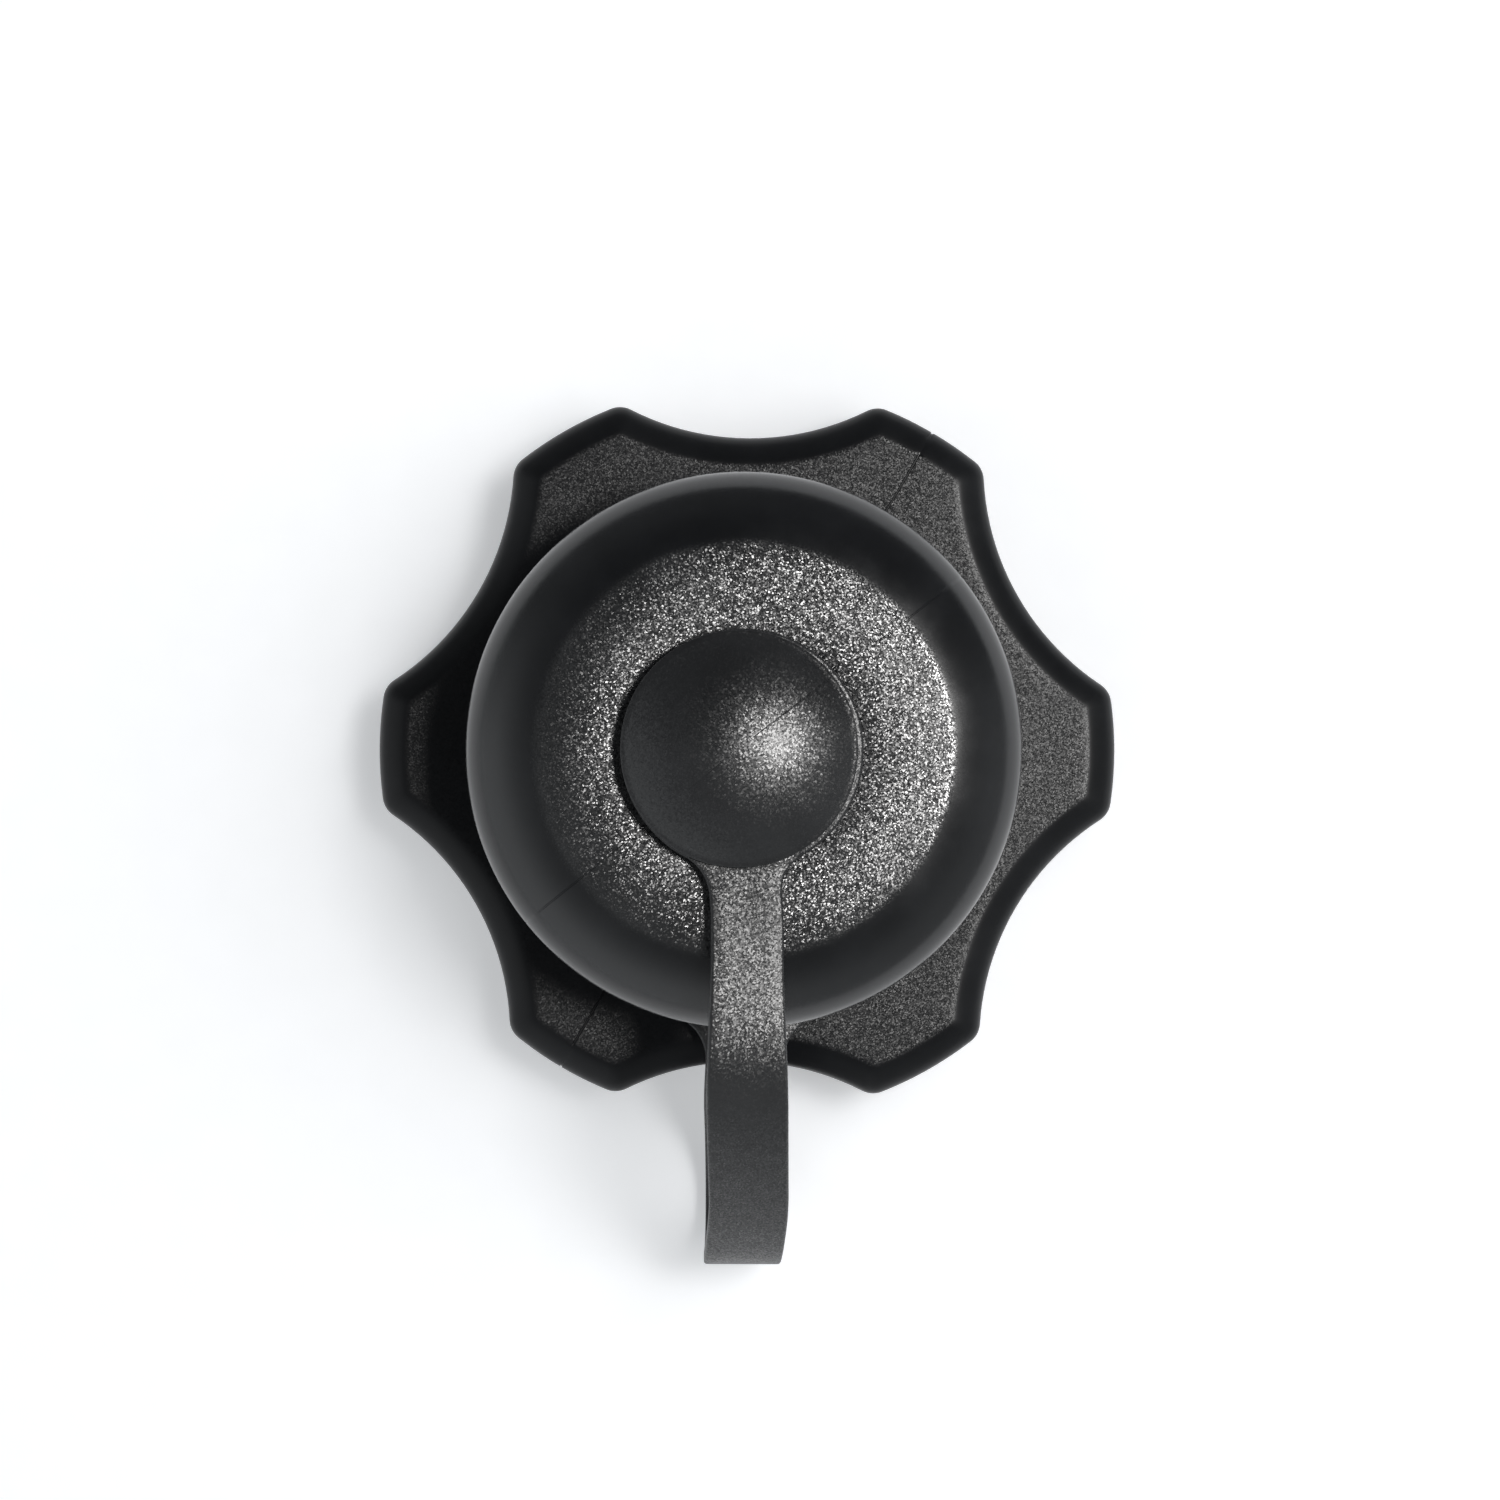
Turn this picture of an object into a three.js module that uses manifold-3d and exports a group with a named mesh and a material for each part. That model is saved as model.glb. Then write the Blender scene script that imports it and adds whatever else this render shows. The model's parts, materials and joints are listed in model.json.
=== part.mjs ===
// A lockable clamping knob (a six-lobed wing nut) with a rubber dust cap on a tether strap.
// Millimetres, +Z up. The origin is on the bolt's axis, in the face that bears on the work.
// The strap leaves the knob towards -Y.
import * as THREE from "three";
import { mergeVertices } from "three/addons/utils/BufferGeometryUtils.js";
import Module from "manifold-3d";

const wasm = await Module();
wasm.setup();

// ---- driving dimensions ----
const GAP = 0.3; // running or assembly clearance between pieces
const ROUND = 48; // facets of a large round surface
const INNER_ROUND = 32; // facets of a round piece inside
const SMALL_ROUND = 16; // facets of a screw or a small hole
const TURN = 2 * Math.PI;

const GRIP = { lobes: 6, tip: 35, valley: 29.7, valleyArc: 25, edge: 2.6, bottom: 2.5, top: 10 };
const NECK = { outer: 20, inner: 14.9, floor: 8, top: 13.2 };
const DOME = { equator: 25.5, equatorZ: 23.2, shoulder: 12, crownZ: 29.7, wall: 2.4, bottom: 13.5, seat: 10.55 };
const BOLT = { minor: 3.4, clearance: 4.7 }; // M8 thread
const FOOT = { radius: 14.5, thick: 1.2 };
const COLLAR = { radius: 12.9, bottom: 1.5, top: 3.3 };
const JOURNAL = { radius: 9, top: 8 };
const HEX = { radius: 6.6, top: 11.4 };
const CLUTCH = { inner: 9.2, outer: 12, baseZ: 8.3, rootZ: 9.8, tooth: 1.6, slots: 12, teeth: 6, travel: 1.6 };
const DOG = { radius: 14.3, thick: 1.7, ears: 3, earReach: 16.5, earWidth: 4.2 };
const SCREW = { count: 3, circle: 17.4, shank: 1.2, head: 2.5, headBottom: 3, headTop: 4.6, tip: 17.6 };
const HOUSING = { inner: 7.2, outer: 9.1, bottom: 19.9, flange: 10.2, flangeZ: 29, top: 29.7, lip: 5.8 };
const PLUG = { radius: 6.9, bottom: 18.6, top: 27.9, tail: 4.6 };
const CAM = { radius: 6.6, inner: 4.4, bottom: 17.2, top: 18.3, turn: Math.PI / 2 };
const WAFER = { count: 4, first: 21.3, pitch: 1.8, thick: 0.7, length: 12.4, width: 5, travel: 1.6 };
const STRAP = { width: 7.3, thick: 1.5, capFlare: 3.8, ringFlare: 4.6, ringInner: 20.4, ringOuter: 25.9, ringZ: 10.3 };
const CAP = { head: 10.8, button: 10.45, bottom: 29.9, top: 35.4, stub: 5.3, stubZ: 28.5 };

const DOG_BOTTOM = CLUTCH.rootZ + 2 * CLUTCH.tooth + GAP; // underside of the dog's disc at rest
const DOG_TOP = DOG_BOTTOM + DOG.thick;
const CUT = 0.5; // how far a cutting tool runs past the face it cuts

// The strap's centre line from the cap over the dome and back under to the ring: [distance from the axis, height].
const STRAP_ROUTE = [
  [15.4, 30.65], [18, 30.75], [21, 31], [24.5, 31.1], [28, 30.6], [31.3, 29.3], [34.6, 27.1], [38, 24.1],
  [41.4, 20.5], [44.6, 16.5], [47, 12.5], [48.1, 8.3], [47.8, 4.6], [46, 2.1], [43, 1.3], [39.8, 2.1],
  [36.8, 4.1], [34.2, 6.7], [31.9, 9.2], [29.7, 10.75], [27.7, 11.05],
];

// ---- materials ----
const finish = (color, roughness, metalness) => ({ color, roughness, metalness });
const BLACK_NYLON = finish(0x141518, 0.55, 0);
const BLACK_RUBBER = finish(0x101113, 0.75, 0);
const ZINC_STEEL = finish(0xb9bcc0, 0.35, 0.9);
const BRASS = finish(0xb98f45, 0.35, 0.9);
const ZINC_ALLOY = finish(0x9a9da1, 0.4, 0.85);
const SPRING_STEEL = finish(0x8d9196, 0.3, 0.95);
const ACETAL = finish(0xe4e2da, 0.5, 0);

// ---- solid helpers ----
const point = (x, y) => new THREE.Vector2(x, y);
const polar = (radius, angle) => point(radius * Math.cos(angle), radius * Math.sin(angle));
const heading = (from, to) => Math.atan2(to.y - from.y, to.x - from.x);

// A closed geometry as a solid that can be joined and cut.
function solid(geometry) {
  const bare = geometry.clone();
  bare.deleteAttribute("normal");
  bare.deleteAttribute("uv");
  const merged = mergeVertices(bare, 1e-4);
  const vertProperties = merged.attributes.position.array;
  const triVerts = new Uint32Array(merged.index.array);
  return new wasm.Manifold(new wasm.Mesh({ numProp: 3, vertProperties, triVerts }));
}

// A profile of [radius, height] corners turned about Z, listed anticlockwise with the radius to the right.
function turned(corners, facets = ROUND) {
  const profile = corners.map(([radius, height]) => point(radius, height));
  if (corners[0][0] > 0) profile.push(profile[0].clone());
  return solid(new THREE.LatheGeometry(profile, facets).rotateX(Math.PI / 2));
}

const tube = (inner, outer, low, high, facets = INNER_ROUND) =>
  turned([[inner, low], [outer, low], [outer, high], [inner, high]], facets);
const rod = (radius, low, high, facets = INNER_ROUND) =>
  turned([[0, low], [radius, low], [radius, high], [0, high]], facets);

// A flat outline raised from one height to another.
function plate(outline, low, high, curveSegments = 6) {
  const options = { depth: high - low, bevelEnabled: false, curveSegments };
  return solid(new THREE.ExtrudeGeometry(outline, options).translate(0, 0, low));
}

function polygon(sides, radius) {
  return new THREE.Shape(Array.from({ length: sides }, (_, i) => polar(radius, (TURN * i) / sides)));
}

// A box from its lowest to its highest corner, turned about Z.
function block([x0, y0, z0], [x1, y1, z1], angle = 0) {
  const box = new THREE.BoxGeometry(x1 - x0, y1 - y0, z1 - z0);
  return solid(box.translate((x0 + x1) / 2, (y0 + y1) / 2, (z0 + z1) / 2).rotateZ(angle));
}

// A sector of a ring centred on an angle.
function sector(inner, outer, angle, span) {
  const outline = new THREE.Shape();
  outline.absarc(0, 0, outer, angle - span / 2, angle + span / 2, false);
  outline.absarc(0, 0, inner, angle + span / 2, angle - span / 2, true);
  return outline;
}

const around = (count, first = 0) => Array.from({ length: count }, (_, i) => first + (TURN * i) / count);
const joined = (pieces) => pieces.reduce((whole, piece) => whole.add(piece));
const cut = (body, tools) => tools.reduce((left, tool) => left.subtract(tool), body);

// Arc corners [radius, height] of a profile, from one angle to another about a centre.
function arc([cx, cz], rx, rz, from, to, steps) {
  return Array.from({ length: steps + 1 }, (_, i) => {
    const angle = from + ((to - from) * i) / steps;
    return [cx + rx * Math.cos(angle), cz + rz * Math.sin(angle)];
  });
}

// A round wire wound along +Z from one height to another.
class Helix extends THREE.Curve {
  constructor(radius, low, high, turns) {
    super();
    Object.assign(this, { radius, low, high, turns });
  }
  getPoint(t, target = new THREE.Vector3()) {
    const angle = TURN * this.turns * t;
    const height = this.low + (this.high - this.low) * t;
    return target.set(this.radius * Math.cos(angle), this.radius * Math.sin(angle), height);
  }
}

function coil(radius, wire, low, high, turns, stepsPerTurn) {
  const extrudePath = new Helix(radius, low, high, turns);
  const options = { extrudePath, steps: Math.round(turns * stepsPerTurn), curveSegments: 3 };
  return new THREE.ExtrudeGeometry(polygon(5, wire), options);
}

// ---- core: what turns with the bolt's thread ----
function pressureFoot() {
  return tube(BOLT.clearance, FOOT.radius, 0, FOOT.thick, ROUND);
}

function threadedInsert() {
  const { minor } = BOLT;
  const shaft = turned([
    [minor + 0.6, COLLAR.bottom], [COLLAR.radius, COLLAR.bottom], [COLLAR.radius, COLLAR.top],
    [JOURNAL.radius, COLLAR.top], [JOURNAL.radius, JOURNAL.top], [minor, JOURNAL.top],
    [minor, COLLAR.bottom + 0.6],
  ], INNER_ROUND);
  const hex = plate(polygon(6, HEX.radius), JOURNAL.top - CUT, HEX.top);
  const groove = tube(5.4, HEX.radius + 1, 10.1, 10.8);
  return cut(shaft.add(hex), [rod(minor, JOURNAL.top - 1, HEX.top + CUT), groove]);
}

function clutchCrown() {
  const { outer, inner, baseZ, rootZ, tooth, slots } = CLUTCH;
  const ring = rod(outer, baseZ, rootZ);
  const width = (0.4 * TURN) / slots;
  const teeth = around(slots, TURN / slots / 2).map((angle) =>
    plate(sector(inner, outer - 0.05, angle, width), rootZ - CUT, rootZ + tooth, 2));
  return cut(joined([ring, ...teeth]), [plate(polygon(6, HEX.radius + 0.35), baseZ - CUT, rootZ + CUT)]);
}

function crownCirclip() {
  const mouth = 0.7;
  return plate(sector(5.7, 7.8, 0, TURN - mouth), 10.2, 10.7, 12);
}

// ---- grip: what the hand turns ----
// The lobed outline, inset from the true edge, with its corners rounded.
function lobedOutline(inset, corner) {
  const tip = GRIP.tip - inset;
  const hollow = GRIP.valleyArc + inset;
  const reach = GRIP.valley + GRIP.valleyArc;
  const ring = tip - corner;
  const cosine = (ring ** 2 + reach ** 2 - (hollow + corner) ** 2) / (2 * ring * reach);
  const pitch = TURN / GRIP.lobes;
  const half = pitch / 2 - Math.acos(cosine);
  const outline = new THREE.Shape();
  for (const lobe of around(GRIP.lobes)) {
    const before = polar(reach, lobe - pitch / 2);
    const after = polar(reach, lobe + pitch / 2);
    const start = polar(ring, lobe - half);
    const end = polar(ring, lobe + half);
    const next = polar(ring, lobe + pitch - half);
    const entry = lobe - half - ((lobe - half - heading(start, before) + 2 * TURN) % TURN);
    const exit = lobe + half + ((heading(end, after) - lobe - half + 2 * TURN) % TURN);
    outline.absarc(start.x, start.y, corner, entry, lobe - half, false);
    outline.absarc(0, 0, tip, lobe - half, lobe + half, false);
    outline.absarc(end.x, end.y, corner, lobe + half, exit, false);
    outline.absarc(after.x, after.y, hollow, heading(after, end), heading(after, next), true);
  }
  return outline;
}

function lobedFlange() {
  const { edge, bottom, top } = GRIP;
  const straight = top - edge - bottom + CUT;
  const options = {
    depth: straight, bevelEnabled: true, bevelThickness: edge, bevelSize: edge - 0.2, bevelSegments: 4,
    curveSegments: 3,
  };
  const rounded = new THREE.ExtrudeGeometry(lobedOutline(edge - 0.2, 0.15), options);
  const raised = solid(rounded.translate(0, 0, bottom - CUT));
  return cut(raised, [rod(GRIP.tip + 5, bottom - CUT - edge - 1, bottom)]);
}

// Slots in which the dog's ears slide.
const earSlots = (low, high) => around(DOG.ears, TURN / 4).map((angle) =>
  block([NECK.inner - 1, -DOG.earWidth / 2 - GAP, low], [DOG.earReach + 0.4, DOG.earWidth / 2 + GAP, high], angle));

const screwPlaces = () => around(SCREW.count, TURN / 12);
const drilled = (angle, radius, low, high) => {
  const { x, y } = polar(SCREW.circle, angle);
  return rod(radius, low, high, SMALL_ROUND).translate([x, y, 0]);
};

function gripBase() {
  const { bottom } = GRIP;
  const collarPocket = COLLAR.radius + 0.5;
  const tools = [
    rod(NECK.inner, NECK.floor, NECK.top + CUT),
    rod(11.2, bottom - CUT, NECK.floor + CUT),
    rod(collarPocket, bottom - CUT, 4.5),
    ...screwPlaces().map((angle) => drilled(angle, SCREW.shank + 0.4, bottom, NECK.top + CUT)),
    ...screwPlaces().map((angle) => drilled(angle, SCREW.head + 0.4, bottom - CUT, SCREW.headTop + GAP)),
    ...around(GRIP.lobes).map((angle) => block([23.4, -3.8, bottom - CUT], [31, 3.8, 6.8], angle)),
    ...earSlots(DOG_BOTTOM - CLUTCH.travel - GAP, NECK.top + CUT),
  ];
  return cut(lobedFlange().add(rod(NECK.outer, NECK.floor - 1, NECK.top)), tools);
}

function domeShell() {
  const { equator, equatorZ, shoulder, crownZ, wall, bottom, seat } = DOME;
  const centre = equator - shoulder;
  const rise = crownZ - equatorZ;
  const ringTop = 18.5;
  const outside = [
    ...arc([19.5, equatorZ - 0.5], equator - 19.5, equatorZ - 0.5 - bottom, -TURN / 4, 0, 5),
    ...arc([centre, equatorZ], shoulder, rise, 0, TURN / 4, 8),
    [seat, crownZ],
  ];
  const hole = HOUSING.outer + GAP;
  const lockSeat = [[seat, 28], [hole, 28], [hole, crownZ - wall]];
  const inside = [
    ...arc([centre, equatorZ], shoulder - wall, rise - wall, TURN / 4, 0, 5),
    [21.8, 17.6], [19.9, 16.1], [19.9, ringTop], [15, ringTop],
  ];
  const shell = turned([[15, bottom], ...outside, ...lockSeat, ...inside]);
  return cut(shell, [
    ...screwPlaces().map((angle) => drilled(angle, SCREW.shank + GAP, bottom - CUT, SCREW.tip + GAP)),
    ...earSlots(bottom - CUT, DOG_TOP + 0.4),
  ]);
}

function domeScrew(angle) {
  const { shank, head, headBottom, headTop, tip } = SCREW;
  const body = turned([
    [0, headBottom], [head - 0.4, headBottom], [head, headBottom + 0.5], [head, headTop], [shank, headTop],
    [shank, tip - 1.2], [0, tip],
  ], SMALL_ROUND);
  const slot = (turn) => block([-1.5, -0.35, headBottom - 1], [1.5, 0.35, headBottom + 0.8], turn);
  const { x, y } = polar(SCREW.circle, angle);
  return cut(body, [slot(0), slot(TURN / 4)]).translate([x, y, 0]);
}

const thrustWasher = () => tube(JOURNAL.radius + GAP, COLLAR.radius - 0.1, COLLAR.top + GAP, 4.2);
const bearingBush = () => tube(JOURNAL.radius + GAP, 10.9, 4.8, NECK.floor - GAP);
const lockGasket = () => tube(HOUSING.outer + GAP, HOUSING.flange, 28.2, 28.75);

function lockHousing() {
  const { inner, outer, bottom, flange, flangeZ, top, lip } = HOUSING;
  const lipZ = PLUG.top + GAP;
  const body = turned([
    [inner, bottom], [outer, bottom], [outer, flangeZ], [flange, flangeZ], [flange, top - GAP],
    [flange - GAP, top], [lip, top], [lip, lipZ], [inner, lipZ],
  ], INNER_ROUND);
  const half = WAFER.width / 2 + GAP;
  return cut(body, around(4).map((angle) => block([0, -half, bottom - CUT], [8.3, half, PLUG.top], angle)));
}

function housingNut() {
  const top = DOME.crownZ - DOME.wall - 0.4;
  return cut(plate(polygon(6, 13), top - 2.4, top), [rod(HOUSING.outer + GAP, top - 3, top + CUT)]);
}

// ---- lock plug and what turns with the key ----
const waferHeights = () => Array.from({ length: WAFER.count }, (_, i) => WAFER.first + i * WAFER.pitch);

function lockPlug() {
  const { radius, bottom, top, tail } = PLUG;
  const body = rod(radius, bottom, top).add(block([-tail / 2, -tail / 2, CAM.bottom], [tail / 2, tail / 2, bottom + 1]));
  const keySlot = block([-4, -1.1, 20.3], [4, 1.1, top + CUT]);
  const waferSlot = (z) => block([-8, -WAFER.width / 2 - 0.25, z - 0.55], [8, WAFER.width / 2 + 0.25, z + 0.55]);
  const springPocket = (z) => block([-3, 2, z - 0.72], [4, 4.75, z + 0.72]);
  return cut(body, [
    keySlot, ...waferHeights().map(waferSlot), ...waferHeights().map(springPocket),
    tube(6.2, radius + 1, 18.95, 19.6), rod(1.5, CAM.bottom - CUT, 19.9, SMALL_ROUND),
  ]);
}

const plugCirclip = () => plate(sector(6.45, 8.2, 0, TURN - 0.7), 19.05, 19.5, 12);

// A wafer tumbler: a plate with a window for the key and an ear for its spring.
function wafer(z) {
  const { length, width, thick } = WAFER;
  const low = z - thick / 2;
  const high = z + thick / 2;
  const body = block([-length / 2, -width / 2, low], [length / 2, width / 2, high]);
  const ear = block([-0.9, width / 2 - CUT, low], [-0.1, 4.4, high]);
  return cut(body.add(ear), [block([-3.4, -1.4, low - CUT], [3.4, 1.4, high + CUT])]);
}

function waferSpring(z) {
  return coil(0.42, 0.13, 0.2, 3.7, 4, 7).rotateY(Math.PI / 2).translate(0, 3.6, z);
}

// The face cam's ramp grows deeper against the key's turn, and pushes the dog's posts down.
function camRamp(first) {
  const { radius, inner, bottom, top, turn } = CAM;
  const span = turn * 1.12;
  const options = { depth: top - CUT - bottom, bevelEnabled: false, curveSegments: 12 };
  const ramp = new THREE.ExtrudeGeometry(sector(inner, radius - 0.05, -span / 2, span), options);
  ramp.translate(0, 0, bottom);
  const places = ramp.attributes.position;
  for (let i = 0; i < places.count; i++) {
    const depth = (CLUTCH.travel * -Math.atan2(places.getY(i), places.getX(i))) / turn;
    if (places.getZ(i) < bottom + 0.1) places.setZ(i, bottom - Math.max(depth, 0));
  }
  return solid(ramp.rotateZ(first));
}

function driveCam() {
  const { radius, bottom, top } = CAM;
  const half = PLUG.tail / 2 + GAP;
  const hole = block([-half, -half, bottom - CUT], [half, half, top + CUT]);
  return cut(joined([rod(radius, bottom, top), camRamp(0), camRamp(Math.PI)]), [hole]);
}

function camScrew() {
  return turned([[0, 16], [2.2, 16], [2.6, 16.3], [2.6, 16.9], [1.2, 16.9], [1.2, 19.2], [0, 19.6]], SMALL_ROUND);
}

// ---- dog: slides down in the grip to drive the core ----
function clutchDog() {
  const { inner, outer, tooth, teeth } = CLUTCH;
  const { radius, ears, earReach, earWidth } = DOG;
  const width = (0.46 * TURN) / CLUTCH.slots;
  const tooths = around(teeth).map((angle) =>
    plate(sector(inner, outer, angle, width), DOG_BOTTOM - tooth, DOG_BOTTOM + CUT, 2));
  const keys = around(ears, TURN / 4).map((angle) =>
    block([radius - 1, -earWidth / 2, DOG_BOTTOM], [earReach, earWidth / 2, DOG_TOP], angle));
  const posts = [0, Math.PI].map((angle) =>
    block([4.7, -0.8, DOG_TOP - CUT], [6.3, 0.8, CAM.bottom - GAP], angle));
  const hole = rod(4.4, DOG_BOTTOM - CUT, DOG_TOP + CUT);
  return cut(joined([rod(radius, DOG_BOTTOM, DOG_TOP), ...tooths, ...keys, ...posts]), [hole]);
}

const clutchSpring = () => coil(13.4, 0.42, NECK.floor + 0.75, DOG_BOTTOM - 0.75, 3.25, 16);

// ---- tether: ring, strap and dust cap of one rubber moulding ----
// A disc that flares into a strap tab pointing to -Y, cut off square at a distance from its centre.
function flaredDisc(radius, flare, length) {
  const across = STRAP.width / 2 + flare;
  const along = Math.sqrt((radius + flare) ** 2 - across ** 2);
  const turn = Math.atan2(across, along);
  const end = Math.asin(Math.max(along - length, 0) / flare);
  const half = across - flare * Math.cos(end);
  const outline = new THREE.Shape();
  outline.absarc(0, 0, radius, turn - TURN / 4, 3 * TURN / 4 - turn, false);
  outline.absarc(-across, -along, flare, TURN / 4 - turn, end, true);
  outline.lineTo(-half, -length);
  outline.lineTo(half, -length);
  outline.absarc(across, -along, flare, TURN / 2 - end, TURN / 4 + turn, true);
  return outline;
}

function tetherRing() {
  const { ringOuter, ringInner, ringFlare, ringZ, thick } = STRAP;
  const reach = STRAP_ROUTE.at(-1)[0] - GAP;
  const disc = plate(flaredDisc(ringOuter, ringFlare, reach), ringZ, ringZ + thick, 12);
  return cut(disc, [rod(ringInner, ringZ - CUT, ringZ + thick + CUT)]);
}

function tetherStrap() {
  const route = STRAP_ROUTE.map(([out, height]) => new THREE.Vector3(0, -out, height));
  const extrudePath = new THREE.CatmullRomCurve3(route, false, "centripetal");
  const { width, thick } = STRAP;
  const section = new THREE.Shape([
    point(-width / 2, -thick / 2), point(width / 2, -thick / 2), point(width / 2, thick / 2), point(-width / 2, thick / 2),
  ]);
  return new THREE.ExtrudeGeometry(section, { extrudePath, steps: 44 });
}

function dustCap() {
  const { head, button, bottom, top, stub, stubZ } = CAP;
  const headTop = bottom + STRAP.thick;
  const disc = plate(flaredDisc(head, STRAP.capFlare, STRAP_ROUTE[0][0] - GAP), bottom, headTop, 10);
  const edgeZ = headTop + 0.5;
  const crown = Array.from({ length: 5 }, (_, i) => {
    const share = 1 - (i + 1) / 5;
    return [(button - GAP) * share, edgeZ + (top - edgeZ) * (1 - share ** 2)];
  });
  const boss = turned([
    [0, headTop - CUT], [button, headTop - CUT], [button, edgeZ - GAP], [button - GAP, edgeZ], ...crown,
  ]);
  const plugIn = turned([[0, stubZ], [stub - GAP, stubZ], [stub, stubZ + GAP], [stub, bottom + CUT], [0, bottom + CUT]]);
  return joined([disc, boss, plugIn]);
}

// ---- assembly ----
// A named mesh from a solid or a geometry.
function piece(name, shape, look) {
  let geometry = shape;
  if (!shape.isBufferGeometry) {
    const mesh = shape.getMesh();
    geometry = new THREE.BufferGeometry();
    geometry.setAttribute("position", new THREE.BufferAttribute(mesh.vertProperties, mesh.numProp));
    geometry.setIndex(new THREE.BufferAttribute(mesh.triVerts, 1));
  }
  geometry.computeVertexNormals();
  const made = new THREE.Mesh(geometry, new THREE.MeshStandardMaterial(look));
  made.name = name;
  return made;
}

function group(...pieces) {
  const made = new THREE.Group();
  made.add(...pieces);
  return made;
}

const core = group(
  piece("pressure_foot", pressureFoot(), ZINC_STEEL),
  piece("threaded_insert", threadedInsert(), BRASS),
  piece("clutch_crown", clutchCrown(), ZINC_STEEL),
  piece("crown_circlip", crownCirclip(), SPRING_STEEL),
);

const grip = group(
  piece("grip_base", gripBase(), BLACK_NYLON),
  piece("dome_shell", domeShell(), BLACK_NYLON),
  ...screwPlaces().map((angle, i) => piece(`dome_screw_${i + 1}`, domeScrew(angle), ZINC_STEEL)),
  piece("thrust_washer", thrustWasher(), ACETAL),
  piece("bearing_bush", bearingBush(), ACETAL),
  piece("lock_gasket", lockGasket(), BLACK_RUBBER),
  piece("lock_housing", lockHousing(), ZINC_ALLOY),
  piece("housing_nut", housingNut(), ZINC_STEEL),
);

const lock = group(
  piece("lock_plug", lockPlug(), BRASS),
  piece("plug_circlip", plugCirclip(), SPRING_STEEL),
  ...waferHeights().map((z, i) => piece(`wafer_${i + 1}`, wafer(z), BRASS)),
  ...waferHeights().map((z, i) => piece(`wafer_spring_${i + 1}`, waferSpring(z), SPRING_STEEL)),
  piece("drive_cam", driveCam(), ZINC_ALLOY),
  piece("cam_screw", camScrew(), ZINC_STEEL),
);

const clutch = group(
  piece("clutch_dog", clutchDog(), ACETAL),
  piece("clutch_spring", clutchSpring(), SPRING_STEEL),
);

const tether = group(
  piece("tether_ring", tetherRing(), BLACK_RUBBER),
  piece("tether_strap", tetherStrap(), BLACK_RUBBER),
  piece("dust_cap", dustCap(), BLACK_RUBBER),
);

export default group(core, grip, lock, clutch, tether);
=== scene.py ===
"""A lockable six-lobed clamping knob with a rubber dust cap on a strap, seen from straight above."""

import json
import math

import bmesh
import bpy
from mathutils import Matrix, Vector


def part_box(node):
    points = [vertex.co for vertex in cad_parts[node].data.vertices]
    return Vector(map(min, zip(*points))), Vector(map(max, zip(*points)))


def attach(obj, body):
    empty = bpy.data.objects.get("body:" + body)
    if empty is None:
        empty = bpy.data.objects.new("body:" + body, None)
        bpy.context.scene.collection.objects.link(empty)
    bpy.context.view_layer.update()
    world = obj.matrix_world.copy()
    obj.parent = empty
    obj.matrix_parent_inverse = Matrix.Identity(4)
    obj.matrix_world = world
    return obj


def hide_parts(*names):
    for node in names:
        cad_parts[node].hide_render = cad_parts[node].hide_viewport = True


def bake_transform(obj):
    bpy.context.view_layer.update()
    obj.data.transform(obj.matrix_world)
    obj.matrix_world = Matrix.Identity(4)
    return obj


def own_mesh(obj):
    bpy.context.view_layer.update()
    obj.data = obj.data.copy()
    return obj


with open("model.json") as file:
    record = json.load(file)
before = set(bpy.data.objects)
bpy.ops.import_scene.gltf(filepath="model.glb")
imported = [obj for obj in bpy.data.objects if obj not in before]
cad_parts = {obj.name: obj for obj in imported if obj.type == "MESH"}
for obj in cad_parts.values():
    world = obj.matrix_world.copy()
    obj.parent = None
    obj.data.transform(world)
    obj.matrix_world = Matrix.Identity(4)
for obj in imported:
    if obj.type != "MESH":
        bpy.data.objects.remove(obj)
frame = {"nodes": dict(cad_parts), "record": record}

MM = 0.001
TURN = 2 * math.pi
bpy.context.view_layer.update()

# ---- sizes in millimetres, taken from the CAD nodes ----


def node_mm(name):
    low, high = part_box(name)
    return low / MM, high / MM


FLANGE_LOW, FLANGE_HIGH = node_mm("grip_base")
DOME_LOW, DOME_HIGH = node_mm("dome_shell")
RING_LOW, RING_HIGH = node_mm("tether_ring")
CAP_LOW, CAP_HIGH = node_mm("dust_cap")
FOOT_LOW, FOOT_HIGH = node_mm("pressure_foot")

LOBES = 6
TIP = FLANGE_HIGH.x  # radius across the lobes
VALLEY = 29.7  # radius at the bottom of a valley
VALLEY_ARC = 25.0
CORNER = 2.3  # rounding of the lobes' corners at the widest point
CORNER_INNER = 0.9  # and round the flat top
TWIST = math.radians(-0.4)  # the moulding's small turn from the CAD axes
# The flange's rounded edge, from its widest point in to the flat top: (inset, depth below the top).
EDGE_PROFILE = [
    (0, 2.6), (0.03, 2.33), (0.08, 2.12), (0.15, 1.93), (0.25, 1.72), (0.38, 1.52),
    (0.56, 1.3), (0.8, 1.07), (1.1, 0.84), (1.45, 0.61), (1.8, 0.41), (2.1, 0.26),
    (2.32, 0.165), (2.5, 0.1), (2.66, 0.055), (2.82, 0.024), (3.0, 0.006), (3.15, 0),
]
EDGE = EDGE_PROFILE[-1][0]
LOW_ROUND = 0.7  # rounding of the lower edge
FLANGE_TOP = 10.0
FLANGE_BOTTOM = FLANGE_LOW.z
GROOVE = 0.12  # depth of the parting line across the flange
NECK = 20.0
NECK_ROOT = 0.6  # rounding where the neck rises from the flange
NECK_TOP = FLANGE_HIGH.z
NECK_INNER = 14.9
NECK_FLOOR = 8.0
HUB_BORE = 11.2
COLLAR_POCKET = 13.4
COLLAR_POCKET_TOP = 4.5
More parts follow.
